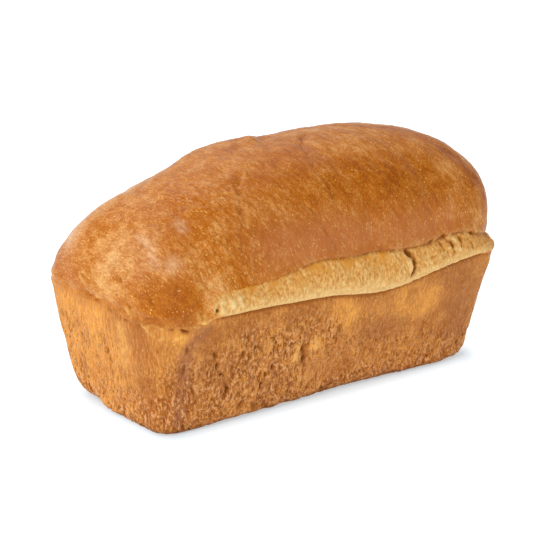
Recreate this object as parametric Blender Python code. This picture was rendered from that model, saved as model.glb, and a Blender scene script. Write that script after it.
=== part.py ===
"""A tin loaf: brown bread baked in an open loaf tin.

The dough filled the tin to its rim and set against the leaning walls. Above the rim it rose into a
high dome. Along the long sides the crust tore away from the rim as the loaf sprang, and the torn
crumb shows as a pale band that bulges past the wall. Round the left end there is no tear: the dome's
crust folds down over the rim line instead. The loaf is one solid, and stands on its flat base.

X runs along the loaf, Y across it with the front at -Y, and Z up from the table.
"""

import math

import bmesh
import bpy
from mathutils import Vector, noise

# Driving dimensions, in metres
RIM_LENGTH = 0.235
RIM_WIDTH = 0.127
RIM_HEIGHT = 0.065
LOAF_HEIGHT = 0.1372

# The walls, which lean in from the rim to the base as the tin's do
END_LEAN = 0.006
SIDE_LEAN = 0.0165
BASE_ROUND = 0.0065
CORNER_SQUARENESS = 8.5
BACK_CORNER_ROUND = 0.007
BACK_CORNER = (-0.110, 0.038)
NEAR_CORNER_ROUND = -0.0022
NEAR_CORNER = (-0.110, -0.052)
CORNER_REACH = 0.022
CORNER_STARTS = -0.04

# The dome above the shoulder: a rounded form that leans a little to the right
SHOULDER_HEIGHT = 0.078
END_FULLNESS = 2.6
SIDE_FULLNESS = 2.45
TOP_SQUARENESS = 2.0
SQUARENESS_FADE = 0.55
DOME_LEAN = 0.022
DOME_HEART = 0.062
CAP_TURN = math.radians(38)

# The torn bands: heights of their edges, and how far the crumb stands out
TEAR_LOW = 0.0682
TEAR_HIGH = 0.0815
TEAR_BULGE = 0.0036
TEAR_FULLEST = 0.36
TEAR_LEDGE = 0.0014
TEAR_STRANDS = 0.0010
TEAR_DROP = 0.0035
TEAR_DROPS = (0.086, 0.106)
LOW_EDGE_WAVES = ((0.028, 0.036, -0.0082), (-0.030, 0.020, -0.0012))
HIGH_EDGE_WAVES = ((-0.018, 0.022, 0.0052), (0.018, 0.018, 0.0026), (0.079, 0.012, 0.0022))

# Where each tear opens and closes, and how far it opens: the front tear runs round the right end
FRONT_OPENS = (-0.104, -0.084)
RIGHT_OPENS = (0.100, 0.114)
RIGHT_CLOSES = (0.0, 0.046)
RIGHT_SHARE = 0.75
BACK_OPENS = (-0.088, -0.050)
BACK_CLOSES = (0.060, 0.092)
BACK_EDGE = (0.030, 0.055)
BACK_SHARE = 0.62

# The fold round the left end, where the crust rolls down over the wall
FOLD_BAND = 0.0055
FOLD_ROLL = 0.0060
FOLD_LIP = 0.0011
FOLD_GROOVE = 0.0013
FOLD_WANDER = 0.0016
FOLD_WAVE = 38

# Low waves of the crust and crags of the wall: waves to the metre, and height of each
CRUST_WAVES = ((28, 0.0010), (62, 0.0006))
WALL_WAVES = ((45, 0.0007), (95, 0.0005))
PIT_DEPTH = 0.0007
PIT_WAVES = Vector((190, 190, 120))
STRAND_WAVES = Vector((150, 150, 55))
PITTED_UP_TO = 0.040
PITS_HIGH_UP = 0.35

# Soft creases across the dome: where each crosses the middle, how it slants, and its depth
CREASES = ((0.004, 0.25, 0.0011), (-0.082, -0.10, 0.0012), (0.052, 0.22, 0.0009))
CREASE_REACH = 0.0055

# Swellings and hollows of the loaf: place, reach, and height of each
SWELLINGS = (
    (Vector((-0.033, 0.024, 0.134)), 0.022, 0.0020),
    (Vector((-0.064, 0.036, 0.122)), 0.026, -0.0042),
    (Vector((-0.045, 0.046, 0.120)), 0.018, -0.0012),
    (Vector((-0.090, 0.049, 0.102)), 0.014, -0.0010),
    (Vector((0.020, 0.027, 0.135)), 0.020, -0.0030),
    (Vector((0.070, 0.012, 0.134)), 0.030, -0.0012),
    (Vector((0.104, -0.010, 0.123)), 0.022, 0.0015),
    (Vector((0.112, -0.038, 0.103)), 0.026, 0.0022),
    (Vector((-0.004, -0.050, 0.112)), 0.040, 0.0012),
    (Vector((0.115, -0.045, 0.050)), 0.018, 0.0013),
    (Vector((0.012, -0.045, 0.000)), 0.036, -0.0022),
    (Vector((0.078, -0.045, 0.000)), 0.022, 0.0020),
    (Vector((-0.066, -0.047, 0.003)), 0.016, -0.0008),
    (Vector((-0.094, -0.042, 0.000)), 0.012, 0.0012),
    (Vector((-0.110, -0.026, 0.000)), 0.013, -0.0014),
    (Vector((-0.112, 0.040, 0.010)), 0.026, -0.0015),
)

# Faces along, across and up the form
ALONG, ACROSS = 46, 24
BASE_ROWS, WALL_ROWS, TORN_ROWS, CRUST_ROWS = 3, 9, 8, 7
UP = BASE_ROWS + WALL_ROWS + TORN_ROWS + CRUST_ROWS
NO_LENGTH = 1e-6


def rise(low, high, value):
    """0 up to low, 1 from high on, and a smooth rise between them."""
    share = min(max((value - low) / (high - low), 0.0), 1.0)
    return share * share * (3 - 2 * share)


def bell(value, centre, reach):
    """1 at the centre, falling smoothly to nothing within about two reaches."""
    return math.exp(-(((value - centre) / reach) ** 2))


def bells(value, waves):
    return sum(height * bell(value, centre, reach) for centre, reach, height in waves)


def rough(place, waves):
    return sum(height * noise.noise(place * count) for count, height in waves)


def stretched(place, counts):
    return Vector(part * count for part, count in zip(place, counts))


def slice_at(height):
    """Half length, half width, squareness and middle of the smooth loaf, cut level at a height."""
    up_wall = min(height / RIM_HEIGHT, 1.0)
    half_length = RIM_LENGTH / 2 - END_LEAN * (1 - up_wall)
    half_width = RIM_WIDTH / 2 - SIDE_LEAN * (1 - up_wall)
    up_dome = min(max(height - SHOULDER_HEIGHT, 0.0) / (LOAF_HEIGHT - SHOULDER_HEIGHT), 1.0)
    half_length *= (1 - up_dome**END_FULLNESS) ** (1 / END_FULLNESS)
    half_width *= (1 - up_dome**SIDE_FULLNESS) ** (1 / SIDE_FULLNESS)
    above_rim = min(max(height - RIM_HEIGHT, 0.0) / (LOAF_HEIGHT - RIM_HEIGHT), 1.0)
    squareness = CORNER_SQUARENESS + (TOP_SQUARENESS - CORNER_SQUARENESS) * above_rim**SQUARENESS_FADE
    return half_length, half_width, squareness, DOME_LEAN * up_dome


def outline_point(toward_x, toward_y, height, inset=0.0):
    """The point of the level slice that lies in a direction, on its rounded-rectangle outline."""
    half_length, half_width, squareness, middle = slice_at(height)
    size = (abs(toward_x) ** squareness + abs(toward_y) ** squareness) ** (1 / squareness)
    x = (half_length - inset) * toward_x / size + middle
    y = (half_width - inset) * toward_y / size
    return Vector((x, y, height))


def steep(offset, half_side):
    """How much a rim place faces along one axis, from its offset from the middle along that axis."""
    return math.copysign(abs(offset / half_side) ** (CORNER_SQUARENESS / 2), offset) / half_side


def tear_share(rim):
    """How far open the tear is at a place on the rim: 1 along the front, 0 round the left end."""
    if rim.y < 0:
        return rise(*FRONT_OPENS, rim.x) * (1 - (1 - RIGHT_SHARE) * rise(*RIGHT_OPENS, rim.x))
    right_end = RIGHT_SHARE * rise(*RIGHT_OPENS, rim.x) * (1 - rise(*RIGHT_CLOSES, rim.y))
    back = BACK_SHARE * rise(*BACK_EDGE, rim.y) * rise(*BACK_OPENS, rim.x) * (1 - rise(*BACK_CLOSES, rim.x))
    return max(right_end, back)


def tear_edges(rim):
    """Heights of the rim line and of the crust's lower edge at a place on the rim, and the tear there."""
    share = tear_share(rim)
    front = 1 - rise(-RIM_WIDTH / 3, 0.0, rim.y)
    low = TEAR_LOW + front * bells(rim.x, LOW_EDGE_WAVES)
    high = TEAR_HIGH + front * bells(rim.x, HIGH_EDGE_WAVES) - TEAR_DROP * rise(*TEAR_DROPS, rim.x)
    fold_line = RIM_HEIGHT + FOLD_WANDER * noise.noise(rim * FOLD_WAVE)
    low_edge = fold_line + (low - fold_line) * share
    return low_edge, max(low_edge + FOLD_BAND, low_edge + (high - low_edge) * share), share


def base_round(rim):
    """The radius of the base edge: larger at the back of the left end, smaller at its near corner."""
    left = 1 - rise(BACK_CORNER[0], CORNER_STARTS, rim.x)
    back = BACK_CORNER_ROUND * bell(rim.y, BACK_CORNER[1], CORNER_REACH)
    near = NEAR_CORNER_ROUND * bell(rim.y, NEAR_CORNER[1], CORNER_REACH)
    return BASE_ROUND + left * (back + near)


def band_relief(up_band, share, place):
    """How far the torn crumb, or the fold where nothing tore, stands out from the smooth loaf."""
    if up_band < TEAR_FULLEST:
        swell = math.sin(math.pi / 2 * up_band / TEAR_FULLEST)
    else:
        swell = math.cos(math.pi / 2 * (up_band - TEAR_FULLEST) / (1 - TEAR_FULLEST))
    strands = TEAR_STRANDS * noise.noise(stretched(place, STRAND_WAVES))
    torn = TEAR_LEDGE * (1 - up_band) + swell * (TEAR_BULGE + strands)
    uneven = 1 + noise.noise(place * FOLD_WAVE)
    folded = FOLD_LIP * up_band - FOLD_GROOVE * uneven * math.sin(math.pi * up_band)
    return torn * share + folded * (1 - share)


def swelling(place):
    """How far the loaf swells or sinks at a place."""
    return sum(height * bell((place - middle).length, 0.0, reach) for middle, reach, height in SWELLINGS)


def wall_relief(place):
    """The wall's crags: long low waves all over, and pits that grow towards the base edge."""
    pitted = 1 - (1 - PITS_HIGH_UP) * rise(BASE_ROUND, PITTED_UP_TO, place.z)
    pits = PIT_DEPTH * pitted * noise.noise(stretched(place, PIT_WAVES))
    return swelling(place) + rough(place, WALL_WAVES) + pits


def dome_relief(place):
    """The dome's lumps, the soft creases across it, and the low waves of its crust."""
    relief = swelling(place) + rough(place, CRUST_WAVES)
    for crosses, slant, depth in CREASES:
        relief -= depth * bell(place.x + slant * place.y, crosses, CREASE_REACH)
    return relief


def raised(point):
    """A point of the smooth dome, moved out by the dome's relief."""
    heart = Vector((point.x * SQUARENESS_FADE, 0, DOME_HEART))
    return point + (point - heart).normalized() * dome_relief(point)


def dome_turn(height):
    """The turn of the dome's profile at a height: 0 at the shoulder, a right angle at the top."""
    up_dome = (height - SHOULDER_HEIGHT) / (LOAF_HEIGHT - SHOULDER_HEIGHT)
    return math.asin(min(up_dome, 1.0) ** (SIDE_FULLNESS / 2)) if up_dome > 0 else up_dome


def dome_height(turn):
    """The height that has a given turn of the profile. Below the shoulder both grow together."""
    up_dome = math.sin(turn) ** (2 / SIDE_FULLNESS) if turn > 0 else turn
    return SHOULDER_HEIGHT + (LOAF_HEIGHT - SHOULDER_HEIGHT) * up_dome


def side_point(toward_x, toward_y, row):
    """A point of the side: the base's round edge, the tin wall, the torn band, then the dome's flank."""
    rim = outline_point(toward_x, toward_y, RIM_HEIGHT)
    outward = Vector((steep(rim.x, RIM_LENGTH / 2), steep(rim.y, RIM_WIDTH / 2), 0)).normalized()
    low, high, share = tear_edges(rim)
    radius = base_round(rim)
    if row <= BASE_ROWS:
        turn = math.pi / 2 * row / BASE_ROWS
        inset = radius * (1 - math.sin(turn))
        point = outline_point(toward_x, toward_y, radius * (1 - math.cos(turn)), inset)
        return point + outward * wall_relief(point)
    row -= BASE_ROWS
    if row <= WALL_ROWS:
        point = outline_point(toward_x, toward_y, radius + (low - radius) * row / WALL_ROWS)
        return point + outward * wall_relief(point)
    row -= WALL_ROWS
    if row <= TORN_ROWS:
        up_band = row / TORN_ROWS
        point = outline_point(toward_x, toward_y, low + (high - low) * up_band)
        relief = wall_relief(point) * (1 - up_band) + dome_relief(point) * up_band
        return point + outward * (relief + band_relief(up_band, share, point))
    start = dome_turn(high)
    up_flank = (row - TORN_ROWS) / CRUST_ROWS
    point = outline_point(toward_x, toward_y, dome_height(start + (CAP_TURN - start) * up_flank))
    lip = (1 - share) * FOLD_LIP * bell(point.z, high, FOLD_ROLL)
    return raised(point) + outward * lip


def form_point(along, across, up):
    """The place on the loaf of a point on the two-unit box that it is shaped from."""
    ring = max(abs(along), abs(across))
    if ring == 0:
        return raised(Vector((DOME_LEAN, 0, LOAF_HEIGHT))) if up > 0 else Vector((0, 0, 0))
    if abs(up) < 1 or ring == 1:
        return side_point(along / ring, across / ring, round((up + 1) / 2 * UP))
    if up < 0:
        return side_point(along / ring, across / ring, 0) * ring
    turn = math.pi / 2 - (math.pi / 2 - CAP_TURN) * ring
    return raised(outline_point(along / ring, across / ring, dome_height(turn)))


def gridded_box():
    """A two-unit box with its sides cut into the grid of faces that the loaf needs."""
    box = bmesh.new()
    bmesh.ops.create_cube(box, size=2)
    for axis, parts in enumerate((ALONG, ACROSS, UP)):
        edges = [e for e in box.edges if abs(e.verts[0].co[axis] - e.verts[1].co[axis]) > NO_LENGTH]
        bmesh.ops.subdivide_edges(box, edges=edges, cuts=parts - 1, use_grid_fill=True)
    return box


def crust_material():
    """Browned crust: a warm brown, a little glossy where the dome baked hardest."""
    material = bpy.data.materials.new("baked_crust")
    material.use_nodes = True
    shader = material.node_tree.nodes["Principled BSDF"]
    shader.inputs["Base Color"].default_value = (0.50, 0.20, 0.055, 1)
    shader.inputs["Roughness"].default_value = 0.55
    shader.inputs["Metallic"].default_value = 0.0
    return material


def make_loaf(collection):
    """Shapes the box into the loaf, centres it, and leaves its underside as one flat face."""
    box = gridded_box()
    for vertex in box.verts:
        vertex.co = form_point(*vertex.co)
    lengthwise = [v.co.x for v in box.verts]
    crosswise = [v.co.y for v in box.verts]
    middle = Vector((max(lengthwise) + min(lengthwise), max(crosswise) + min(crosswise), 0)) / 2
    bmesh.ops.translate(box, verts=box.verts, vec=-middle)
    underside = [f for f in box.faces if all(abs(v.co.z) < NO_LENGTH for v in f.verts)]
    bmesh.ops.dissolve_faces(box, faces=underside, use_verts=True)
    mesh = bpy.data.meshes.new("loaf")
    box.to_mesh(mesh)
    box.free()
    mesh.shade_smooth()
    mesh.materials.append(crust_material())
    collection.objects.link(bpy.data.objects.new("loaf", mesh))


def main():
    for old in list(bpy.data.objects):
        bpy.data.objects.remove(old)
    parts = bpy.data.collections.new("tin_loaf")
    bpy.context.scene.collection.children.link(parts)
    make_loaf(parts)


main()
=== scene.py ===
"""A tin loaf of brown bread: its domed crust, the torn crumb along its sides, and its walls."""

import math

import bpy
import numpy as np
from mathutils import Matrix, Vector, noise


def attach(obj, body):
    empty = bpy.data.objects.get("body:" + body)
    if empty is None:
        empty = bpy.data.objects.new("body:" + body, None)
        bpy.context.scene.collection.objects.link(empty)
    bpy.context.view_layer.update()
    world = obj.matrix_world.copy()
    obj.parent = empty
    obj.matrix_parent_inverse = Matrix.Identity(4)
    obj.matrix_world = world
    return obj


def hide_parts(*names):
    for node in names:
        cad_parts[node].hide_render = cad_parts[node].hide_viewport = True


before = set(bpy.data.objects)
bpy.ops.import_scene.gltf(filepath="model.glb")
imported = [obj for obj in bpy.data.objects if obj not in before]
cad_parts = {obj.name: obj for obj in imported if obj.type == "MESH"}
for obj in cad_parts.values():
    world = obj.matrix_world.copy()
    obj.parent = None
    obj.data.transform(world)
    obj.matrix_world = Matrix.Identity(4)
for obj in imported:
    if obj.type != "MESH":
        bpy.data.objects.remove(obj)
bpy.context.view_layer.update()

# The loaf's body. It is one piece of yeasted brown dough, baked in an open tin: it set flat against
# the tin's walls, rose over the rim into a dome, and tore along its long sides as it sprang.
# The solid's own surface is divided finely here, so that crags and cracks can be worked into it.
FINER = 3
MERGE = 0.00005
QUAD_ANGLE = math.radians(60)

bpy.ops.object.select_all(action="DESELECT")
loaf = bpy.data.objects.new("loaf_bread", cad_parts["loaf"].data.copy())
bpy.context.scene.collection.objects.link(loaf)
bpy.context.view_layer.objects.active = loaf
loaf.select_set(True)
bpy.ops.mesh.customdata_custom_splitnormals_clear()
bpy.ops.object.mode_set(mode="EDIT")
bpy.ops.mesh.select_all(action="SELECT")
bpy.ops.mesh.remove_doubles(threshold=MERGE)
bpy.ops.mesh.tris_convert_to_quads(face_threshold=QUAD_ANGLE, shape_threshold=QUAD_ANGLE)
bpy.ops.object.mode_set(mode="OBJECT")
divided = loaf.modifiers.new("divided", "SUBSURF")
divided.levels = divided.render_levels = FINER
bpy.ops.object.modifier_apply(modifier=divided.name)

# The rim line and the tear. The tin's rim left a line round the loaf. Along the front and back the
# crust lifted off it and the crumb between stretched and tore; round the left end the crust folded
# over it and covers a few millimetres. Heights and places are those of the solid.
RIM_HEIGHT = 0.065
RIM_WIDTH = 0.127
MIDDLE = Vector((0.0022, -0.0011, 0))
TEAR_LOW = 0.0682
TEAR_HIGH = 0.0815
TEAR_DROP = 0.0035
TEAR_DROPS = (0.086, 0.106)
LOW_EDGE_WAVES = ((0.028, 0.036, -0.0082), (-0.030, 0.020, -0.0012))
HIGH_EDGE_WAVES = ((-0.018, 0.022, 0.0052), (0.018, 0.018, 0.0026), (0.079, 0.012, 0.0022))
FRONT_OPENS = (-0.104, -0.084)
RIGHT_OPENS = (0.100, 0.114)
RIGHT_CLOSES = (0.0, 0.046)
RIGHT_SHARE = 0.75
BACK_OPENS = (-0.088, -0.050)
BACK_CLOSES = (0.060, 0.092)
BACK_EDGE = (0.030, 0.055)
BACK_SHARE = 0.62
FOLD_BAND = 0.0055
FOLD_WANDER = 0.0016
FOLD_WAVE = 38
CLOSED_COVERED = 3.5


def rise(low, high, value):
    """0 up to low, 1 from high on, and a smooth rise between them."""
    share = min(max((value - low) / (high - low), 0.0), 1.0)
    return share * share * (3 - 2 * share)


def bell(value, centre, reach):
    """1 at the centre, falling off smoothly to about a third at its reach."""
    return np.exp(-(((value - centre) / reach) ** 2))


def bells(value, waves):
    return sum(height * bell(value, centre, reach) for centre, reach, height in waves)


def tear_share(rim):
    """How far open the tear is at a place on the rim: 1 along the front, 0 round the left end."""
    if rim.y < 0:
        return rise(*FRONT_OPENS, rim.x) * (1 - (1 - RIGHT_SHARE) * rise(*RIGHT_OPENS, rim.x))
    right_end = RIGHT_SHARE * rise(*RIGHT_OPENS, rim.x) * (1 - rise(*RIGHT_CLOSES, rim.y))
    back = BACK_SHARE * rise(*BACK_EDGE, rim.y) * rise(*BACK_OPENS, rim.x) * (1 - rise(*BACK_CLOSES, rim.x))
    return max(right_end, back)


def tear_edges(place):
    """Heights of the rim line and of the crust's lower edge by a place on the loaf, and the tear there."""
    rim = Vector((place.x, place.y, RIM_HEIGHT)) + MIDDLE
    share = tear_share(rim)
    front = 1 - rise(-RIM_WIDTH / 3, 0.0, rim.y)
    low = TEAR_LOW + front * bells(rim.x, LOW_EDGE_WAVES)
    high = TEAR_HIGH + front * bells(rim.x, HIGH_EDGE_WAVES) - TEAR_DROP * rise(*TEAR_DROPS, rim.x)
    fold_line = RIM_HEIGHT + FOLD_WANDER * noise.noise(rim * FOLD_WAVE)
    low_edge = fold_line + (low - fold_line) * share
    return low_edge, max(low_edge + FOLD_BAND, low_edge + (high - low_edge) * share), share


mesh = loaf.data
spots = np.empty(len(mesh.vertices) * 3)
mesh.vertices.foreach_get("co", spots)
spots = spots.reshape(-1, 3)
places = [Vector(spot) for spot in spots]
edges = np.array([tear_edges(place) for place in places])
height = spots[:, 2]
low_edge, high_edge, tear = edges.T
above_rim = (height - low_edge) * 1000
torn = np.minimum(height - low_edge, high_edge - height) * 1000 - (1 - tear) * CLOSED_COVERED
up_band = (height - low_edge) / (high_edge - low_edge)

# The grain of the surfaces. The wall is spongy where bubbles met the tin, most towards the base; the
# torn crumb is drawn out in strands; the dome is pebbled, and wrinkled at its left end. Each is waves
# to the metre along X, Y and Z, and a height. Patches are paths in millimetres, a reach and a share.
SPONGE_LUMPS = (Vector((120, 120, 70)), 0.0008)
SPONGE_GROOVES = (Vector((300, 300, 85)), 0.0024)
SPONGE_PITS = (Vector((600, 600, 260)), 0.0022)
DRAWN_LINES = (Vector((520, 520, 50)), 0.0004)
STRANDS = (Vector((300, 300, 85)), 0.0012)
CRUMB = (Vector((650, 650, 450)), 0.0010)
STRANDS_FROM = (-0.060, 0.040)
STRANDS_LEAST = 0.35
DEEP_IN_TEAR = 3
PEBBLES = (Vector((190, 120, 120)), 0.00035)
PEBBLES_FINE = (Vector((620, 300, 300)), 0.00030)
WRINKLES = (Vector((270, 95, 190)), 0.0006)
WRINKLES_BEND = (70, 0.5)
WRINKLES_NARROW = 4
WRINKLES_START = 4
WRINKLED_PATCHES = (
    (((-105, -20, 90), (-60, -40, 115)), 34, 0.9),
    (((-112, -45, 76), (-70, -62, 92)), 16, 0.5),
)
SPONGE_LEAST = 0.20
SPONGY_PATCHES = (
    (((-90, -52, 20), (-45, -54, 26)), 25, 0.65),
    (((-64, -58, 48), (-10, -58, 44)), 11, 0.35),
    (((0, -54, 30), (80, -52, 18)), 13, 0.25),
    (((-40, -44, 4), (100, -44, 4)), 11, 0.60),
    (((-112, -44, 6), (-114, 50, 6)), 15, 0.60),
    (((-119, 25, 45), (-119, -8, 40)), 16, 0.25),
    (((-90, 54, 26), (60, 54, 22)), 28, 0.60),
    (((112, -40, 8), (112, 40, 12)), 18, 0.50),
)
UNDERSIDE = 0.0004
POINT_RUN = 0.0004


def counted(place, counts):
    """A place in waves instead of metres."""
    return Vector(part * count for part, count in zip(place, counts))


def waves(place, kind):
    counts, tall = kind
    return tall * noise.noise(counted(place, counts))


def pits(place, kind):
    """Waves with their upper halves cut off, so that only hollows are left."""
    return min(waves(place, kind), 0.0)


def from_path(path, wander=0.0):
    """Every vertex's distance from a path, in millimetres, after it wanders a little.

    A path is straight runs between points, and a single point is given a very short run.
    """
    points = np.array(path, float)
    shifted = spots * 1000 + wander
    nearest = np.full(len(spots), np.inf)
    for start, end in zip(points, points[1:] if len(path) > 1 else points + POINT_RUN):
        run = end - start
        share = np.clip((shifted - start) @ run / (run @ run), 0, 1)
        nearest = np.minimum(nearest, np.linalg.norm(shifted - start - share[:, None] * run, axis=1))
    return nearest


def patched(patches):
    """The sum of patches, each along a path in millimetres, with a reach and a share."""
    return sum(share * bell(from_path(path), 0, reach) for path, reach, share in patches)


def wrinkle(place):
    """Narrow bent furrows, from 0 between them to -1 in their beds."""
    bend_waves, bend = WRINKLES_BEND
    bent = counted(place, WRINKLES[0]) + bend * noise.noise_vector(place * bend_waves)
    return -max(0.0, 1 - WRINKLES_NARROW * abs(noise.noise(bent)))


def grain(place, above, torn_here, spongy_here):
    """How far the surface's grain lifts or sinks it at a place."""
    if torn_here > 0:
        drawn = STRANDS_LEAST + (1 - STRANDS_LEAST) * rise(*STRANDS_FROM, place.x)
        return min(torn_here / DEEP_IN_TEAR, 1) * (drawn * waves(place, STRANDS) + pits(place, CRUMB))
    if above > 0:
        return waves(place, PEBBLES) + waves(place, PEBBLES_FINE)
    sponge = waves(place, SPONGE_LUMPS) + pits(place, SPONGE_GROOVES) + pits(place, SPONGE_PITS)
    return spongy_here * sponge + (1 - spongy_here) * waves(place, DRAWN_LINES)


spongy = np.clip(SPONGE_LEAST + patched(SPONGY_PATCHES), 0, 1)
relief = np.array([grain(*here) for here in zip(places, above_rim, torn, spongy)])
furrows = np.clip(patched(WRINKLED_PATCHES), 0, 1) * np.array([wrinkle(place) for place in places])
furrows[(torn > 0) | (above_rim < 0)] = 0
relief += WRINKLES[1] * furrows * np.clip(above_rim / WRINKLES_START, 0, 1)

# The lips of the tear. The torn crumb stands over the wall with an undercut below it, and the
# crust ends above it in a thin lip; the colour has painted shade under both. Each is a height over
# its edge, a reach and how far it stands.
# Skin covers the tear at the right front corner, and strands of dough join it at its left end.
UNDERCUT = (-0.0009, 0.0010, -0.0013)
CRUMB_LIP = (0.0014, 0.0014, 0.0006)
CRUST_NICK = (-0.0004, 0.0008, -0.0007)
CRUST_LIP = (0.0014, 0.0016, 0.0005)
CRUST_CLEARS = (-0.075, -0.020)
CORNER_SKIN = ((113, -46, 61), (104, -59, 64), (95, -62, 61))
CORNER_REACH = 5
LEFT_STRANDS = (-0.098, -0.080)


def along_front(low, high, elsewhere):
    """A share that rises along the front from low to high, and is the same all over the back."""
    return np.array([rise(low, high, place.x) if place.y < 0 else elsewhere for place in places])


corner = bell(from_path(CORNER_SKIN), 0, CORNER_REACH)
joined = 1 - along_front(*LEFT_STRANDS, 1)
tear *= (1 - corner) * (1 - joined)
cleared = tear * along_front(*CRUST_CLEARS, 1)
for over, (centre, reach, stands), share in (
    (height - low_edge, UNDERCUT, tear),
    (height - low_edge, CRUMB_LIP, tear),
    (height - high_edge, CRUST_NICK, cleared),
    (height - high_edge, CRUST_LIP, cleared),
):
    relief += share * stands * bell(over, centre, reach)

# Cracks, creases and strands. The crust creased as it cooled, cracked at the tear and the fold, and
# left threads of dough across them. Each has a path and a reach, and sinks or stands out, all in
# millimetres. Dents only shape the surface. Creases are coloured too: painted shade where they sink,
# and gold where they stand.
DENTS = (
    (((6, 23, 136), (-9, 3, 137), (-13, -10, 134.5)), 3.0, -1.7),
    (((-3, 24, 135.5), (-15, 7, 136.7)), 4.5, 1.4),
    (((-78, 36, 112), (-78, 27, 115)), 3.2, -1.3),
    (((-85, 30, 111), (-85, 24, 113)), 5.0, 0.8),
    (((-104, -58, 70), (-98, -61, 72)), 5.0, -0.8),
    (((-112, -52, 76), (-104, -58, 79)), 5.0, 0.9),
    (((-119, 38, 69), (-117, 48, 68.5), (-112, 58, 68)), 3.0, 1.6),
    (((113, -46, 60), (107, -56, 60)), 6.0, 1.5),
    (((-117, 44, 78), (-115, 47, 81)), 6.0, 0.8),
    (((106, -44, 86), (104, -40, 100)), 11.0, 1.2),
    (((114, -44, 67), (109, -54, 67), (101, -62, 67)), 4.0, 1.8),
    (((114, -44, 74.5), (109, -54, 75), (103, -60, 75.5)), 2.6, -1.1),
)
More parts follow.
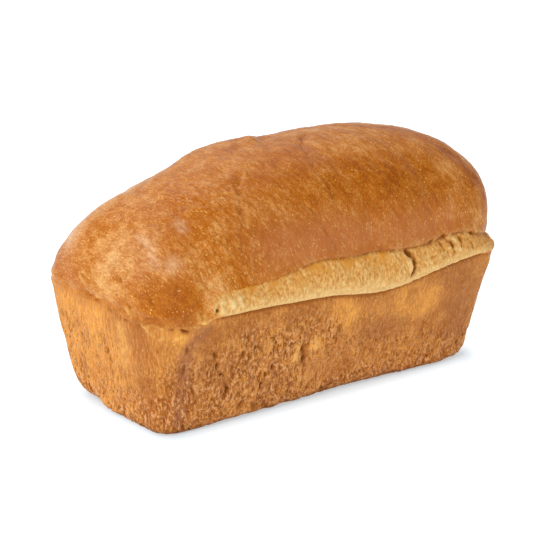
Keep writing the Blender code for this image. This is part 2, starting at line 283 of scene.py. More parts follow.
CREASES = (
    (((-44.5, -24, 130), (-51, -31, 126), (-57, -42, 119.5), (-63, -51, 110.5)), 1.5, -0.9),
    (((-42, -24.5, 130.5), (-48.5, -32, 126), (-54.5, -43, 119.5), (-60.5, -52, 110.5)), 1.2, 0.35),
    (((-64.5, -29.5, 123.5), (-57, -34, 124)), 1.0, 0.30),
    (((-92, -42, 105), (-88, -47.5, 102.5), (-85, -52, 101)), 1.3, -0.7),
    (((-75.5, -51.5, 106.5), (-77, -55, 101.5), (-78, -58, 97)), 1.1, 0.35),
    (((-23, -53, 116.5), (-18, -57, 110), (-14.5, -61, 101), (-8, -64, 90)), 1.3, -0.8),
    (((22, 3, 136.5), (11, -6, 136.6), (4, -15, 135.6), (-3, -32, 132.6)), 1.6, -0.9),
    (((-3, -32, 132.6), (-5.5, -41.5, 127.7), (-3, -47.5, 123), (-4.5, -53.5, 116.3)), 1.2, -1.0),
    (((-106, -19, 102.5), (-109, -32, 96), (-109, -38, 93.5)), 1.0, -1.2),
    (((-116, -5, 88.5), (-117, -12, 85), (-118, -19.5, 81.5)), 1.0, -1.3),
    (((-118.6, -23, 80.5), (-120, -24, 75.5), (-120.4, -29, 71.5), (-119.2, -28, 66.5)), 1.0, -1.6),
    (((-117.3, -42, 79), (-117, -47, 75.5)), 1.0, -1.5),
    (((-120, 18.5, 76.5), (-119, 8, 72.5), (-118.6, -2, 69)), 1.1, 1.0),
    (((-119.5, 19, 81), (-119, 9, 77), (-119, -3, 73)), 0.9, 0.9),
    (((-119, 10, 83), (-119, 0, 78.5), (-119.5, -12, 73.5)), 0.9, 0.8),
    (((-119, 14, 69), (-118.6, 1, 66), (-120, -19, 63.5), (-119, -36, 63)), 1.2, -1.0),
    (((-119.7, -36, 70), (-119.5, -40, 65), (-117, -47, 60)), 0.7, 1.2),
    (((-119.3, -41, 64), (-117, -46, 66), (-115.7, -52, 65)), 0.7, 1.2),
    (((-116, -50, 59), (-114, -54, 61.5)), 0.7, 1.1),
    (((-112, -55.5, 58), (-107, -58, 61)), 0.8, 1.0),
    (((-119.5, -24, 69), (-119.5, -29, 67)), 1.1, 1.3),
    (((-119.5, 4, 71), (-119.5, -2, 68)), 0.8, 1.0),
    (((-119.5, -8, 70), (-119.5, -16, 67.5)), 0.8, 1.0),
    (((-119.5, 12, 72), (-119.5, 7, 69.5)), 0.8, 0.9),
    (((-113, -55, 64.5), (-109.5, -57.5, 65.5)), 1.1, -2.1),
    (((-109.5, -57.5, 64.8), (-104, -59, 62)), 1.1, -2.2),
    (((-103, -57, 54), (-103.6, -56, 48), (-102.6, -53.5, 38), (-102.8, -52.5, 32)), 0.9, -1.4),
    (((40, -63.5, 80), (43.5, -65, 76.5), (44.5, -66.5, 72), (42.5, -66.7, 67)), 1.7, -2.4),
    (((36.5, -64, 80), (40, -66, 76), (41, -67, 70)), 1.4, 0.8),
    (((22, -63, 86), (23, -64, 83.5)), 0.9, -1.6),
    (((31, -64, 83), (32, -65, 81)), 0.9, -1.5),
    (((64.5, -62, 81.5), (66.5, -64.5, 77)), 1.2, -2.0),
    (((69, -61, 83), (72.5, -64, 80), (73.5, -66.3, 75)), 1.4, -2.2),
    (((75.5, -66, 73), (72.5, -66.5, 72), (69, -66.5, 73)), 0.9, -1.0),
    (((-89, -64, 73), (-90.5, -63.5, 69.5)), 1.0, -1.6),
    (((73, -62, 82.5), (77, -65, 79), (77, -66, 75)), 1.1, 0.8),
    (((80, -62, 81.5), (79.5, -65, 76)), 1.1, -1.8),
    (((58, -62, 82), (64, -61.5, 82.5), (71, -60.5, 84)), 0.9, -1.4),
    (((86, -60, 82.5), (92, -59.5, 80.5)), 0.9, -1.2),
    (((87, -63, 79), (88.5, -65, 74)), 1.0, -1.4),
    (((66, -66, 74), (68, -67, 71)), 0.9, -1.2),
    (((-70, -64, 78), (-69, -65, 74)), 0.8, -1.0),
    (((-86, -57, 47), (-84, -56, 42), (-81.5, -54.5, 36)), 1.0, -1.7),
    (((-85, -53.5, 32.5), (-83, -52, 27)), 0.9, -1.4),
    (((-79, -53.5, 32), (-76, -52, 27), (-72, -51, 21)), 1.1, -1.8),
    (((-73, -50.5, 21), (-74, -49.5, 15.5)), 1.1, -1.5),
    (((-66, -57, 43.5), (-67, -55.5, 38.5)), 1.0, -1.5),
    (((-62.5, -56.5, 41.5), (-61.5, -54, 34)), 1.0, -1.6),
    (((-50.5, -51.5, 20.5), (-51, -50, 16), (-51.5, -49, 11.5)), 1.0, -1.7),
    (((-41, -52.5, 27), (-40.5, -51.5, 21.5)), 1.0, -1.5),
    (((-44.7, -53.3, 29.2), (-44.8, -53, 28)), 1.2, -4.5),
    (((-48, -52.5, 25.7), (-48.2, -52.2, 24.8)), 1.0, -4.0),
    (((-62.3, -48, 10), (-62.5, -47, 6.5)), 1.4, -1.6),
    (((-55, -47.7, 8.5), (-51.5, -46.5, 4.5)), 1.3, -1.6),
    (((-25, -55.3, 39), (-24, -54, 33), (-23, -52.5, 27.5)), 1.5, -2.2),
    (((-117, -2, 40.5), (-116.5, -3, 34.5)), 1.2, -1.4),
    (((-112, -44, 23), (-109.5, -46.5, 23.5)), 1.1, -1.4),
    (((-119, -18, 57), (-118.5, -21, 48), (-117.5, -17, 37)), 3.0, 0.5),
    (((-4, -46, 5), (1, -46, 4)), 1.4, -1.8),
    (((17, -42, 2), (20, -43, 3)), 1.2, -1.4),
    (((-29, -54.5, 36), (-29, -53, 30)), 2.0, 0.8),
    (((-17, -54.8, 38), (-16, -54, 34.5)), 2.2, 0.8),
    (((-83.5, -64.5, 77.5), (-80, -66, 74.5)), 2.2, 1.3),
    (((-76, -65.5, 78), (-75, -66.5, 74)), 1.6, 0.9),
    (((-86.5, -64, 79), (-86.5, -65.5, 71)), 1.0, 0.9),
    (((-90, -63.5, 78), (-91, -64, 70)), 1.1, 0.8),
    (((-94, -62.5, 76), (-96, -62, 68)), 1.0, 0.7),
    (((-99, -61, 73), (-98, -61.5, 68), (-94, -62, 66.5), (-88, -64.5, 68.5)), 1.1, 0.8),
    (((-104, -60, 70), (-102, -60.5, 66), (-98, -61, 64.5)), 0.9, 0.8),
)
CRACKED = 0.0010
SHALLOW = 0.0005

WANDER = 0.7
WANDER_WAVES = 330
UNEVEN_WAVES = 260
UNEVEN_LEAST, UNEVEN_USUAL, UNEVEN_SWING = 0.1, 0.75, 1.3
wander = WANDER * np.array([noise.noise_vector(place * WANDER_WAVES) for place in places])
uneven = UNEVEN_USUAL + UNEVEN_SWING * np.array([noise.noise(place * UNEVEN_WAVES) for place in places])
uneven = np.maximum(uneven, UNEVEN_LEAST)
cracks, ridges = np.zeros((2, len(spots)))
for path, reach, stands in CREASES:
    along = uneven * bell(from_path(path, wander), 0, reach) * stands / 1000
    relief += along
    # Each crack's depth is kept for painted shade in it.
    cracks += np.maximum(-along - SHALLOW, 0) / CRACKED
    ridges += np.maximum(along, 0) / CRACKED

facing = np.empty(len(spots) * 3)
mesh.vertex_normals.foreach_get("vector", facing)
facing = facing.reshape(-1, 3)
broad = sum(bell(from_path(path), 0, reach) * stands / 1000 for path, reach, stands in DENTS)
relief[height < UNDERSIDE] = 0
spots += facing * (relief + broad)[:, None]
spots[:, 2] = np.maximum(spots[:, 2], 0)
mesh.vertices.foreach_set("co", spots.ravel())
mesh.update()
mesh.shade_smooth()

# The bake. Heat browned the loaf unevenly: amber on the dome's right, a dull rosy brown low on its
# side, golden on the left end and where the tin held it off. A few browning patches are painted
# shade instead, and some pale patches are painted sheen; these are marked. Each patch has a place,
# reach and share.
BROWN_AND_SHADE_PATCHES = (
    (((30, -50, 118), (75, -52, 104)), 26, 0.22),
    (((40, 10, 134), (70, 10, 128)), 22, -0.05),
    (((-68, -50, 109),), 12, -0.12),
    (((14, -22, 135), (30, -24, 134)), 11, -0.14),
    (((22, 3, 136.5), (11, -6, 136.6), (4, -15, 135.6)), 3.5, 0.22),
    (((-114, -25, 90), (-113, -14, 92)), 6, -0.14),
    (((-115, -35, 85.5), (-118, -39, 78)), 5, 0.14),
    (((-35, -30, 128), (-28, -52, 116)), 14, 0.12),
    (((-76, -10, 119), (-88, -36, 108)), 13, 0.14),
    (((-114, -44, 74), (-108, -56, 77), (-98, -60, 76)), 10, 0.30),
    (((-97, -60, 66), (-104, -57, 70)), 6, 0.15),
    (((-119, 14, 69), (-119, -20, 64), (-118, -38, 63)), 3, 0.10),
    (((-120, 20, 78), (-119, -4, 72), (-119, -24, 69)), 4, 0.14),
    (((-58, -40, 119), (-40, -52, 110)), 16, -0.10),
    (((-65, -57, 103), (-50, -28, 127)), 12, 0.10),
    (((-4, -20, 135), (-12, -36, 131)), 9, 0.16),
    (((-113, 4, 93), (-118, -2, 82)), 11, -0.18),
    (((-96, -50, 96),), 9, -0.12),
    (((84, -48, 115), (76, -58, 100), (74, -60, 94)), 8, -0.26),
    (((-112, -9, 95),), 22, -0.14),
    (((100, -48, 95), (104, -30, 100)), 12, -0.22),
    (((30, -64, 82), (100, -60, 82)), 5, -0.30),
    (((-119, 20, 52), (-119, -18, 48)), 24, -0.14),
    # Painted shade: the end wall darker beside the front corner, where it rounds away from the light.
    (((-117, -36, 54), (-114, -38, 10)), 12, 0.36),
    (((-117, -47, 61), (-108, -56, 62)), 5, -0.26),
    (((-84, -64, 69), (-98, -61, 64), (-104, -58, 60)), 4, -0.35),
    (((-88, -61, 86), (-90, -63, 77)), 9, -0.42),
    (((-6, -59, 52), (4, -58, 48)), 8, -0.42),
    (((48, -60, 56), (60, -58, 47)), 12, -0.20),
    (((78, -62, 64), (84, -59, 44), (90, -54, 20)), 12, 0.15),
    (((20, -55, 36), (36, -54, 34)), 6, 0.14),
    (((0, -60, 57), (6, -60, 52)), 6, -0.15),
    (((26, -59, 50), (44, -56, 41), (62, -57, 44)), 8, -0.18),
    (((-44, -55, 42),), 9, -0.12),
    (((-120, 22, 66), (-120, -20, 62), (-116, -48, 60)), 7, 0.14),
    (((-57, -53, 29.5), (-48, -52, 23)), 3, -0.25),
    (((-117, -22, 40), (-116, -22, 24)), 8, 0.14),
    (((-84, -60, 56),), 9, 0.10),
    (((-58, -54, 34), (-20, -52, 22)), 14, -0.14),
    (((-29, -54.5, 36), (-29, -53, 29)), 4, -0.35),
    (((-17, -54.5, 36.5),), 4.5, -0.45),
    # Painted shade: these two darken the base's edges where they meet the table.
    (((-100, -46, 0), (112, -46, 0)), 5, 0.20),
    (((-112, -44, 0), (-114, 50, 0)), 5, 0.18),
    (((-88, 31, 112),), 24, -0.10),
    # Painted shade along the dome's right-hand outline, away from the light.
    (((62, 2, 135), (85, -8, 131), (94, -30, 123), (103, -46, 108), (109, -48, 96), (109, -50, 86)), 6, 0.34),
    (((-119, 30, 76), (-118, 44, 80)), 7, 0.12),
)
ROSY_PATCHES = (
    (((-50, -62, 97), (29, -63, 92), (70, -62, 90)), 16, 0.85),
    (((2, -22, 134.5), (-3, -32, 132.6)), 8, 0.55),
    (((-94, -61, 62), (-101, -58, 56), (-103.5, -56, 48), (-102.5, -52, 34), (-101.5, -45, 8)), 4.5, 1.0),
    (((-95, -50, 92),), 20, 0.30),
    (((-112, -53, 76), (-106, -57, 74)), 9, 0.25),
    (((20, -55, 36), (38, -54, 35)), 8, 0.35),
    (((-95, -54, 36), (-60, -52, 26), (-20, -50, 18)), 14, 0.25),
    (((-65, -60, 108), (-10, -62, 104)), 14, 0.35),
    (((82, -61, 56), (90, -54, 20)), 12, 0.45),
    (((-119, 30, 76), (-118, 44, 80)), 7, 0.6),
    (((-50, -36, 124), (-20, -30, 128)), 16, 0.25),
)
PALE_AND_SHEEN_PATCHES = (
    (((-89, -30, 112.5), (-90, -35, 110)), 3.0, 0.6),
    (((-104.4, -15, 104), (-105.6, -27.6, 101.5), (-109, -36, 94.5)), 2.4, 0.5),
    (((-103.4, -44, 95.5),), 5, 0.65),
    (((-106, -22, 101), (-110, -30, 93)), 12, 0.25),
    (((-60, -47, 111),), 2.2, 0.5),
    # Painted sheen: the next three are pale highlights along the dome's top and left-hand outlines.
    (((-70, 44, 118), (-30, 40, 130), (30, 44, 132)), 12, 0.30),
    (((-112, 42, 92), (-104, 46, 100), (-92, 46, 108), (-70, 43, 118)), 9, 1.0),
    (((-115, -4, 89),), 8, 0.20),
)
DOME_BROWN, WALL_BROWN, END_BROWN = 0.56, 0.67, 0.46
CORNER_COVERED, STRANDS_COVERED = 9, 8
RIM_FADES, RIM_FADES_TORN, RIM_FADE_LIFT = 9, 2, 0.3
FRAYS = (0.045, 0.070)
STRANDS_FRAYED, BACK_FRAYED = 2, 0.5
AT_BASE = 0.003
UNDERCUT_SHADE, EDGE_SHADE = (-0.7, 0.8), (-0.3, 0.8)


def keep(name, values):
    """Keeps a value for every vertex under a name that the crust's material reads."""
    layer = mesh.attributes.new(name, "FLOAT", "POINT")
    layer.data.foreach_set("value", np.asarray(values, np.float32))


end_facing = np.clip(np.abs(facing[:, 0]), 0, 1)
wall_brown = WALL_BROWN + (END_BROWN - WALL_BROWN) * end_facing
rim_fade = RIM_FADES - (RIM_FADES - RIM_FADES_TORN) * tear
on_dome = np.clip(above_rim / rim_fade + 0.5 - RIM_FADE_LIFT * (1 - tear), 0, 1)
# Browning, with painted shade from some of its patches.
keep("browning_and_shade", wall_brown + (DOME_BROWN - wall_brown) * on_dome + patched(BROWN_AND_SHADE_PATCHES))
keep("rosiness", patched(ROSY_PATCHES))
keep("paleness_and_sheen", patched(PALE_AND_SHEEN_PATCHES))
keep("cracks", cracks)
keep("ridges", ridges)
keep("torn", torn - CORNER_COVERED * corner - STRANDS_COVERED * joined)
keep("frayed", STRANDS_FRAYED * joined + along_front(*FRAYS, BACK_FRAYED))
# Painted shade along the foot, darkest where the loaf meets the table.
keep("at_base", bell(height, 0, AT_BASE))
keep("on_dome", on_dome)
keep("spongy", spongy)
# Painted shadow under the torn crumb's lip.
keep("undercut", tear * bell(above_rim, *UNDERCUT_SHADE))
# Painted shade under the crust's lip, along the top of the tear.
keep("crust_edge", cleared * bell((height - high_edge) * 1000, *EDGE_SHADE))
keep("up_band", up_band)
keep("lifted", relief * 1000)
# The depth of the wrinkles' beds, for painted shade in them.
keep("furrows", -furrows)

# The fine divisions that the relief doesn't need are merged away.
FACES_KEPT = 190000
thinned = loaf.modifiers.new("thinned", "DECIMATE")
thinned.ratio = FACES_KEPT / sum(len(face.vertices) - 2 for face in mesh.polygons)
bpy.ops.object.modifier_apply(modifier=thinned.name)
mesh = loaf.data

# The crust's material. Satin brown crust flecked with gold, matt crumb in the tear, and matt spongy
# walls, in one material that follows the kept values from zone to zone.
bread = bpy.data.materials.new("baked_bread")
bread.use_nodes = True
tree = bread.node_tree
surface = tree.nodes["Principled BSDF"]
where = tree.nodes.new("ShaderNodeTexCoord").outputs["Object"]


def tone(red, green, blue):
    """A colour as it looks on a screen, from 0 to 255, as the light value that the material needs."""
    return (*((part / 255) ** 2.2 for part in (red, green, blue)), 1)


def feed(socket, value):
    """Sets a socket to a value, or joins it to another socket."""
    if isinstance(value, bpy.types.NodeSocket):
        tree.links.new(value, socket)
    else:
        socket.default_value = value


def kept(name):
    reader = tree.nodes.new("ShaderNodeAttribute")
    reader.attribute_name = name
    return reader.outputs["Fac"]


def work(operation, first, second=0.0, clamp=False):
    step = tree.nodes.new("ShaderNodeMath")
    step.operation = operation
    step.use_clamp = clamp
    feed(step.inputs[0], first)
    feed(step.inputs[1], second)
    return step.outputs[0]


def ramp(value, low, high, start=0.0, end=1.0):
    """A smooth change from start to end as a value goes from low to high."""
    step = tree.nodes.new("ShaderNodeMapRange")
    step.interpolation_type = "SMOOTHSTEP"
    for socket, number in zip(step.inputs, (value, low, high, start, end)):
        feed(socket, number)
    return step.outputs[0]


def blend(share, first, second):
    step = tree.nodes.new("ShaderNodeMix")
    step.data_type = "RGBA"
    feed(step.inputs["Factor"], share)
    feed(step.inputs[6], first)
    feed(step.inputs[7], second)
    return step.outputs[2]


def times(first, *others):
    for other in others:
        first = work("MULTIPLY", first, other)
    return first


def swung(value, pattern, low, high, by):
    """A value that changes by up to a share either way as a pattern goes from low to high."""
    return work("ADD", value, ramp(pattern, low, high, -by, by))


def laid(under, mask, share, shade):
    """A colour with a shade laid over it where a mask says, at a share of its strength."""
    return blend(work("MULTIPLY", mask, share, True), under, shade)


def moved(operation, first, second):
    step = tree.nodes.new("ShaderNodeVectorMath")
    step.operation = operation
    feed(step.inputs[0], first)
    feed(step.inputs[1], second)
    return step.outputs[0]


DRIFT, DRIFT_SIZE = 0.004, 12
drift = tree.nodes.new("ShaderNodeTexNoise")
feed(drift.inputs["Vector"], where)
feed(drift.inputs["Scale"], 1000 / DRIFT_SIZE)
drift = moved("MULTIPLY", moved("SUBTRACT", drift.outputs["Color"], (0.5, 0.5, 0.5)), (DRIFT, DRIFT, DRIFT))
drifting = moved("ADD", where, drift)


def stretched(across, along, up, lean=0.0):
    """Gently bent coordinates for a pattern that is drawn out by three shares, and leans to the end."""
    step = tree.nodes.new("ShaderNodeMapping")
    step.vector_type = "TEXTURE"
    feed(step.inputs["Vector"], drifting)
    feed(step.inputs["Rotation"], (0, lean, 0))
    feed(step.inputs["Scale"], (across, along, up))
    return step.outputs[0]


def mottle(size, detail=3.0, drawn=None):
    """Noise from 0 to 1 with patches of a size in millimetres, drawn out or not."""
    step = tree.nodes.new("ShaderNodeTexNoise")
    feed(step.inputs["Vector"], stretched(*drawn) if drawn else where)
    feed(step.inputs["Scale"], 1000 / size)
    feed(step.inputs["Detail"], detail)
    return step.outputs["Fac"]


def cells(size, drawn):
    """Distance from the nearest of scattered points a size apart, and a random number for each point."""
    step = tree.nodes.new("ShaderNodeTexVoronoi")
    feed(step.inputs["Vector"], stretched(*drawn))
    feed(step.inputs["Scale"], 1000 / size)
    split = tree.nodes.new("ShaderNodeSeparateColor")
    feed(split.inputs[0], step.outputs["Color"])
    return step.outputs["Distance"], split.outputs[0]


CRUST_TONES = ((0.05, tone(238, 178, 108)), (0.32, tone(220, 146, 76)), (0.58, tone(196, 114, 32)),
               (0.80, tone(184, 99, 2)), (1.0, tone(156, 78, 2)))
WALL_TONES = ((0.05, tone(245, 171, 80)), (0.30, tone(233, 152, 70)), (0.55, tone(208, 134, 67)),
              (0.85, tone(178, 104, 46)))
ROSY, CORNER_ROSY, PALE_AND_SHEEN = tone(190, 110, 64), tone(166, 102, 66), tone(236, 188, 146)
FLECK, DASH_AND_PIT_SHADE, BASE_SHADE = tone(247, 190, 106), tone(142, 74, 18), tone(104, 50, 8)
CREVICE_SHADE, SALMON, FURROW_SHADE = tone(146, 82, 24), tone(234, 168, 112), tone(170, 88, 20)
CRUMB_DEEP, CRUMB_MID, CRUMB_LIGHT = tone(198, 128, 60), tone(232, 169, 93), tone(250, 214, 148)
STAIN = tone(222, 146, 56)


def shaded(value, stops):
    """A colour that passes through the stops as a value goes from 0 to 1."""
    step = tree.nodes.new("ShaderNodeValToRGB")
    feed(step.inputs[0], value)
    for number, (at, shade) in enumerate(stops):
        stop = step.color_ramp.elements[number] if number < 2 else step.color_ramp.elements.new(at)
        stop.position = at
        stop.color = shade
    return step.outputs[0]


# The crust's patterns, each with a size in millimetres, a detail, and how far it is drawn out.
LEAN = -0.5
GRIT = (0.8, 2)
BAKE_CLOUDS, FLECK_CLOUDS, PATCHY, GLOSS_CLOUDS = 14, 11, 9, 6
UPRIGHT_STREAKS = (0.9, 2, (0.8, 1.6, 2.6))
LEANING_STREAKS = (0.9, 2, (0.75, 3.0, 3.0, LEAN))
LEANS_BETWEEN = (-0.010, -0.070)
DAPPLES = (3.6, 3, (0.8, 2.0, 2.0, LEAN))
DARK_DASHES = (1.5, 2, (0.6, 3.0, 3.0, LEAN))
GOLD_DASHES = (1.9, (0.6, 2.4, 2.4, LEAN))
GOLD_DOTS = (2.0, (0.7, 1.0, 1.3, LEAN))
DASHES_LEAST = 0.25
grit = mottle(*GRIT)
part_x = tree.nodes.new("ShaderNodeSeparateXYZ")
feed(part_x.inputs[0], where)
leaning = ramp(part_x.outputs[0], *LEANS_BETWEEN)
streak = mottle(*UPRIGHT_STREAKS)
streak = work("ADD", streak, times(leaning, work("SUBTRACT", mottle(*LEANING_STREAKS), streak)))
browning_and_shade = swung(kept("browning_and_shade"), mottle(BAKE_CLOUDS), 0.3, 0.7, 0.12)
crust_bake_and_shade = swung(browning_and_shade, mottle(*DAPPLES), 0.34, 0.66, 0.12)
crust_bake_and_shade = swung(crust_bake_and_shade, streak, 0.36, 0.64, -0.11)
crust_bake_and_shade = swung(crust_bake_and_shade, grit, 0.3, 0.7, -0.15)
crust = shaded(crust_bake_and_shade, CRUST_TONES)
crust = laid(crust, kept("rosiness"), ramp(streak, 0.35, 0.7, 0.85, 0.45), ROSY)
# Pale crust, and painted sheen along the dome's top and left-hand outlines.
crust = laid(crust, kept("paleness_and_sheen"), ramp(streak, 0.35, 0.65, 0.5, 1.0), PALE_AND_SHEEN)
# Painted shade in the beds of the wrinkles.
crust = laid(crust, kept("furrows"), 0.45, FURROW_SHADE)
crust = laid(crust, ramp(mottle(*DARK_DASHES), 0.40, 0.32), ramp(mottle(PATCHY), 0.36, 0.6, 0.05, 0.45), DASH_AND_PIT_SHADE)
dash_distance, dash_luck = cells(*GOLD_DASHES)
dashes_here = work("ADD", DASHES_LEAST, times(leaning, 1 - DASHES_LEAST))
dashes = times(ramp(dash_distance, 0.34, 0.16), ramp(dash_luck, 0.58, 0.95, 0.0, 0.9), dashes_here)
dot_distance, dot_luck = cells(*GOLD_DOTS)
dots = times(ramp(dot_distance, 0.30, 0.14), ramp(dot_luck, 0.4, 0.9))
fleck = times(work("MAXIMUM", dashes, dots), ramp(mottle(FLECK_CLOUDS), 0.36, 0.62, 0.4, 0.9))
crust = blend(fleck, crust, FLECK)

# The walls' patterns: pits and round pores where they are spongy, darkened as painted shade in their
# hollows, and fine upright lines.
PITS = (1.9, 2, (0.75, 0.75, 2.2))
PORES = (2.6, (0.9, 0.9, 1.4))
WALL_LINES = (0.9, 2, (1.0, 1.0, 9.0))
LIGHT_SPOTS = (1.8, 2, (0.9, 0.9, 1.5))
ROUGH_CLOUDS, ROSY_CLOUDS = 8, 4
pore_distance, pore_luck = cells(*PORES)
pore = times(ramp(pore_distance, 0.26, 0.16), ramp(pore_luck, 0.45, 0.7))
pore = times(pore, ramp(kept("spongy"), 0.15, 0.5, 0.1, 1.0))
pit = times(ramp(mottle(*PITS), 0.46, 0.38), ramp(mottle(PATCHY), 0.34, 0.58, 0.15, 1.0))
pit = work("MAXIMUM", times(pit, ramp(kept("spongy"), 0.1, 0.8, 0.2, 1.0)), times(pore, 0.8))
rough = times(ramp(mottle(ROUGH_CLOUDS), 0.35, 0.62, 0.35, 1.0), ramp(kept("spongy"), 0.15, 0.8, 0.35, 1.0))
wall_bake_and_shade = work("ADD", browning_and_shade, times(rough, ramp(grit, 0.3, 0.7, 0.32, -0.32)))
wall_bake_and_shade = swung(wall_bake_and_shade, mottle(*WALL_LINES), 0.3, 0.7, 0.15)
# Painted shade: the walls are darker where the relief sinks and lighter where it stands.
wall_bake_and_shade = work("SUBTRACT", wall_bake_and_shade, times(kept("lifted"), 0.22))
wall = shaded(wall_bake_and_shade, WALL_TONES)
for mask, share, shade in (
    (kept("rosiness"), ramp(mottle(ROSY_CLOUDS), 0.3, 0.65, 0.45, 1.0), CORNER_ROSY),
    (ramp(mottle(*LIGHT_SPOTS), 0.50, 0.66), ramp(kept("spongy"), 0.2, 0.8, 0.1, 0.8), SALMON),
    # Painted shade in the hollows of the pits and pores.
    (pit, 0.9, DASH_AND_PIT_SHADE),
    # Painted shade along the foot.
    (kept("at_base"), 0.7, BASE_SHADE),
    (dots, 0.5, FLECK),
    # Painted shadow under the torn crumb's lip.
    (kept("undercut"), 0.85, CREVICE_SHADE),
):
    wall = laid(wall, mask, share, shade)
on_wall = work("SUBTRACT", 1.0, kept("on_dome"))
crust = blend(on_wall, crust, wall)
crust = laid(crust, kept("ridges"), 0.6, FLECK)

# The torn crumb's patterns: short upright strands, lightest low in the tear and stained at its top,
# and a ragged edge where it meets the crust.
CRUMB_STRANDS = (1.4, 3, (0.9, 0.9, 2.0))
RAGS, NICKS = 2.6, 5
LEAST_FRAYED = 0.6
strand = mottle(*CRUMB_STRANDS)
crumb = blend(ramp(strand, 0.30, 0.52), CRUMB_DEEP, CRUMB_MID)
crumb = blend(ramp(strand, 0.50, 0.72, 0.0, 0.7), crumb, CRUMB_LIGHT)
crumb = blend(ramp(grit, 0.42, 0.28, 0.0, 0.5), crumb, CRUMB_DEEP)
crumb = blend(ramp(kept("up_band"), 0.55, 0.0, 0.0, 0.45), crumb, CRUMB_LIGHT)
crumb = laid(crumb, ramp(kept("up_band"), 0.45, 1.0), ramp(mottle(PATCHY), 0.4, 0.65), STAIN)
crumb = laid(crumb, kept("ridges"), 0.9, CRUMB_LIGHT)
fraying = work("ADD", LEAST_FRAYED, kept("frayed"))
ragged = work("ADD", kept("torn"), times(fraying, ramp(mottle(RAGS), 0.25, 0.75, -1.2, 1.2)))
in_tear = ramp(ragged, -0.1, 0.5)
colour = blend(in_tear, crust, crumb)
# Painted shade under the crust's lip.
colour = laid(colour, kept("crust_edge"), ramp(mottle(NICKS), 0.36, 0.58, 0.15, 0.75), CREVICE_SHADE)
# Painted shade in the cracks, darker where they sink deeper.
colour = laid(colour, kept("cracks"), 0.8, CREVICE_SHADE)
feed(surface.inputs["Base Color"], colour)

# The finish: a satin dome, and matt walls and crumb, with a floury bloom seen along the edges.
SATIN = (0.36, 0.50)
WALL_DULLER, CRUMB_DULL = 0.30, 0.85
roughness = ramp(mottle(GLOSS_CLOUDS), 0.3, 0.7, *SATIN)
roughness = work("ADD", roughness, times(on_wall, WALL_DULLER))
feed(surface.inputs["Roughness"], work("MAXIMUM", roughness, times(in_tear, CRUMB_DULL)))
surface.inputs["Specular IOR Level"].default_value = 0.2
surface.inputs["Specular Tint"].default_value = (1.0, 0.72, 0.40, 1)
surface.inputs["Sheen Weight"].default_value = 0.16
surface.inputs["Sheen Roughness"].default_value = 0.30
surface.inputs["Sheen Tint"].default_value = (1.0, 0.82, 0.70, 1)

# The finest relief, which is too small for the mesh: each pattern and how far it stands out.
BUMP_SHARE, BUMP_HEIGHT = 0.7, 0.0006
fine = times(streak, 0.35)
for pattern, stands in (
    (grit, 0.35),
    (times(pit, on_wall), -1.1),
    (fleck, 0.3),
    (times(strand, in_tear), 0.9),
):
    fine = work("ADD", fine, times(pattern, stands))
raised = tree.nodes.new("ShaderNodeBump")
raised.inputs["Strength"].default_value = BUMP_SHARE
raised.inputs["Distance"].default_value = BUMP_HEIGHT
feed(raised.inputs["Height"], fine)
feed(surface.inputs["Normal"], raised.outputs[0])

mesh.materials.clear()
mesh.materials.append(bread)
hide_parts("loaf")
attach(loaf, "root")

# The studio: a white table under soft light that comes mostly from above and from the left. The
# table glows from its own emission, which is painted light, and glows less close to the loaf's
# foot, which is a painted contact shadow.
FLOOR_SIZE = 8.0
FOOT_LENGTH, FOOT_WIDTH = 0.200, 0.074
PAINTED_SHADOW_REACH = (0.003, 0.020)
GLOW = (0.46, 0.76)
TABLE_TONE, TABLE_GLOW = (0.50, 0.62, 0.72, 1), (0.94, 0.98, 1, 1)
ROOM_LIGHT = 0.52
bpy.ops.object.select_all(action="DESELECT")
bpy.ops.mesh.primitive_plane_add(size=FLOOR_SIZE)
table = bpy.context.active_object
table.name = "studio_table"
white = bpy.data.materials.new("white_table")
white.use_nodes = True
tree = white.node_tree
surface = tree.nodes["Principled BSDF"]
surface.inputs["Base Color"].default_value = TABLE_TONE
surface.inputs["Roughness"].default_value = 0.9
surface.inputs["Emission Color"].default_value = TABLE_GLOW
on_table = tree.nodes.new("ShaderNodeSeparateXYZ")
feed(on_table.inputs[0], tree.nodes.new("ShaderNodeTexCoord").outputs["Object"])
clear_of_loaf = (
    work("MAXIMUM", work("SUBTRACT", work("ABSOLUTE", on_table.outputs[0]), FOOT_LENGTH / 2), 0.0),
    work("MAXIMUM", work("SUBTRACT", work("ABSOLUTE", on_table.outputs[1]), FOOT_WIDTH / 2), 0.0),
)
clear_of_loaf = work("SQRT", work("ADD", *(work("POWER", part, 2.0) for part in clear_of_loaf)))
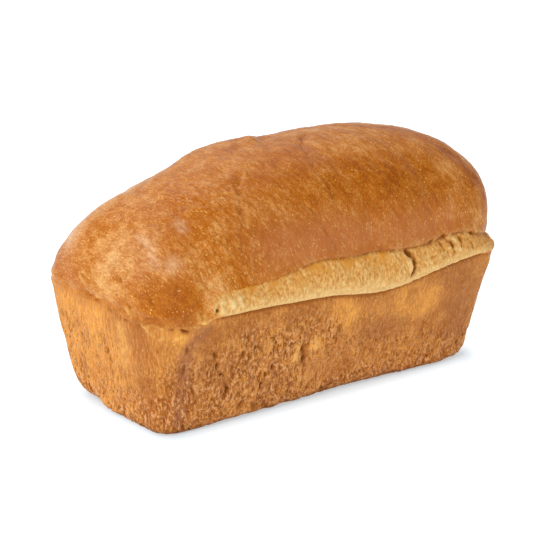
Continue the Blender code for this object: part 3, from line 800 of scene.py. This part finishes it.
# Painted contact shadow: the table's glow is dimmed close to the loaf's foot.
feed(surface.inputs["Emission Strength"], ramp(clear_of_loaf, *PAINTED_SHADOW_REACH, *GLOW))
table.data.materials.append(white)

studio = bpy.data.worlds.new("studio")
studio.use_nodes = True
studio.node_tree.nodes["Background"].inputs["Color"].default_value = (1, 1, 1, 1)
studio.node_tree.nodes["Background"].inputs["Strength"].default_value = ROOM_LIGHT
bpy.context.scene.world = studio
bpy.context.scene.view_settings.view_transform = "Standard"


def toward(azimuth, elevation):
    """The direction that a place lies in, with azimuth 0 in front of the loaf and 90 at its right."""
    turn, lift = math.radians(azimuth), math.radians(elevation)
    return Vector((math.sin(turn) * math.cos(lift), -math.cos(turn) * math.cos(lift), math.sin(lift)))


for name, azimuth, elevation, away, size, power in (
    ("window", -62, 38, 1.6, 0.7, 8.0),
    ("left_panel", -135, 26, 1.6, 1.0, 3.5),
    ("back_panel", 170, 50, 1.8, 1.2, 9.0),
):
    lamp = bpy.data.lights.new(name, "AREA")
    lamp.size = size
    lamp.energy = power
    stand = bpy.data.objects.new(name, lamp)
    stand.location = toward(azimuth, elevation) * away
    stand.rotation_euler = toward(azimuth, elevation).to_track_quat("Z", "Y").to_euler()
    bpy.context.scene.collection.objects.link(stand)

# The camera, with a long lens at the photograph's own angle.
VIEW_AZIMUTH, VIEW_ELEVATION, VIEW_DISTANCE = -37.40, 17.85, 1.2367
AIM_SIDE, AIM_HEIGHT = -0.00484, 0.06126
LENS_PER_FRAME = 2200 / 540
lens = bpy.data.cameras.new("camera")
lens.sensor_width = 36
lens.lens = lens.sensor_width * LENS_PER_FRAME
camera = bpy.data.objects.new("camera", lens)
aim = toward(VIEW_AZIMUTH + 90, 0) * AIM_SIDE + Vector((0, 0, AIM_HEIGHT))
camera.location = aim + toward(VIEW_AZIMUTH, VIEW_ELEVATION) * VIEW_DISTANCE
camera.rotation_euler = toward(VIEW_AZIMUTH, VIEW_ELEVATION).to_track_quat("Z", "Y").to_euler()
bpy.context.scene.collection.objects.link(camera)
bpy.context.scene.camera = camera
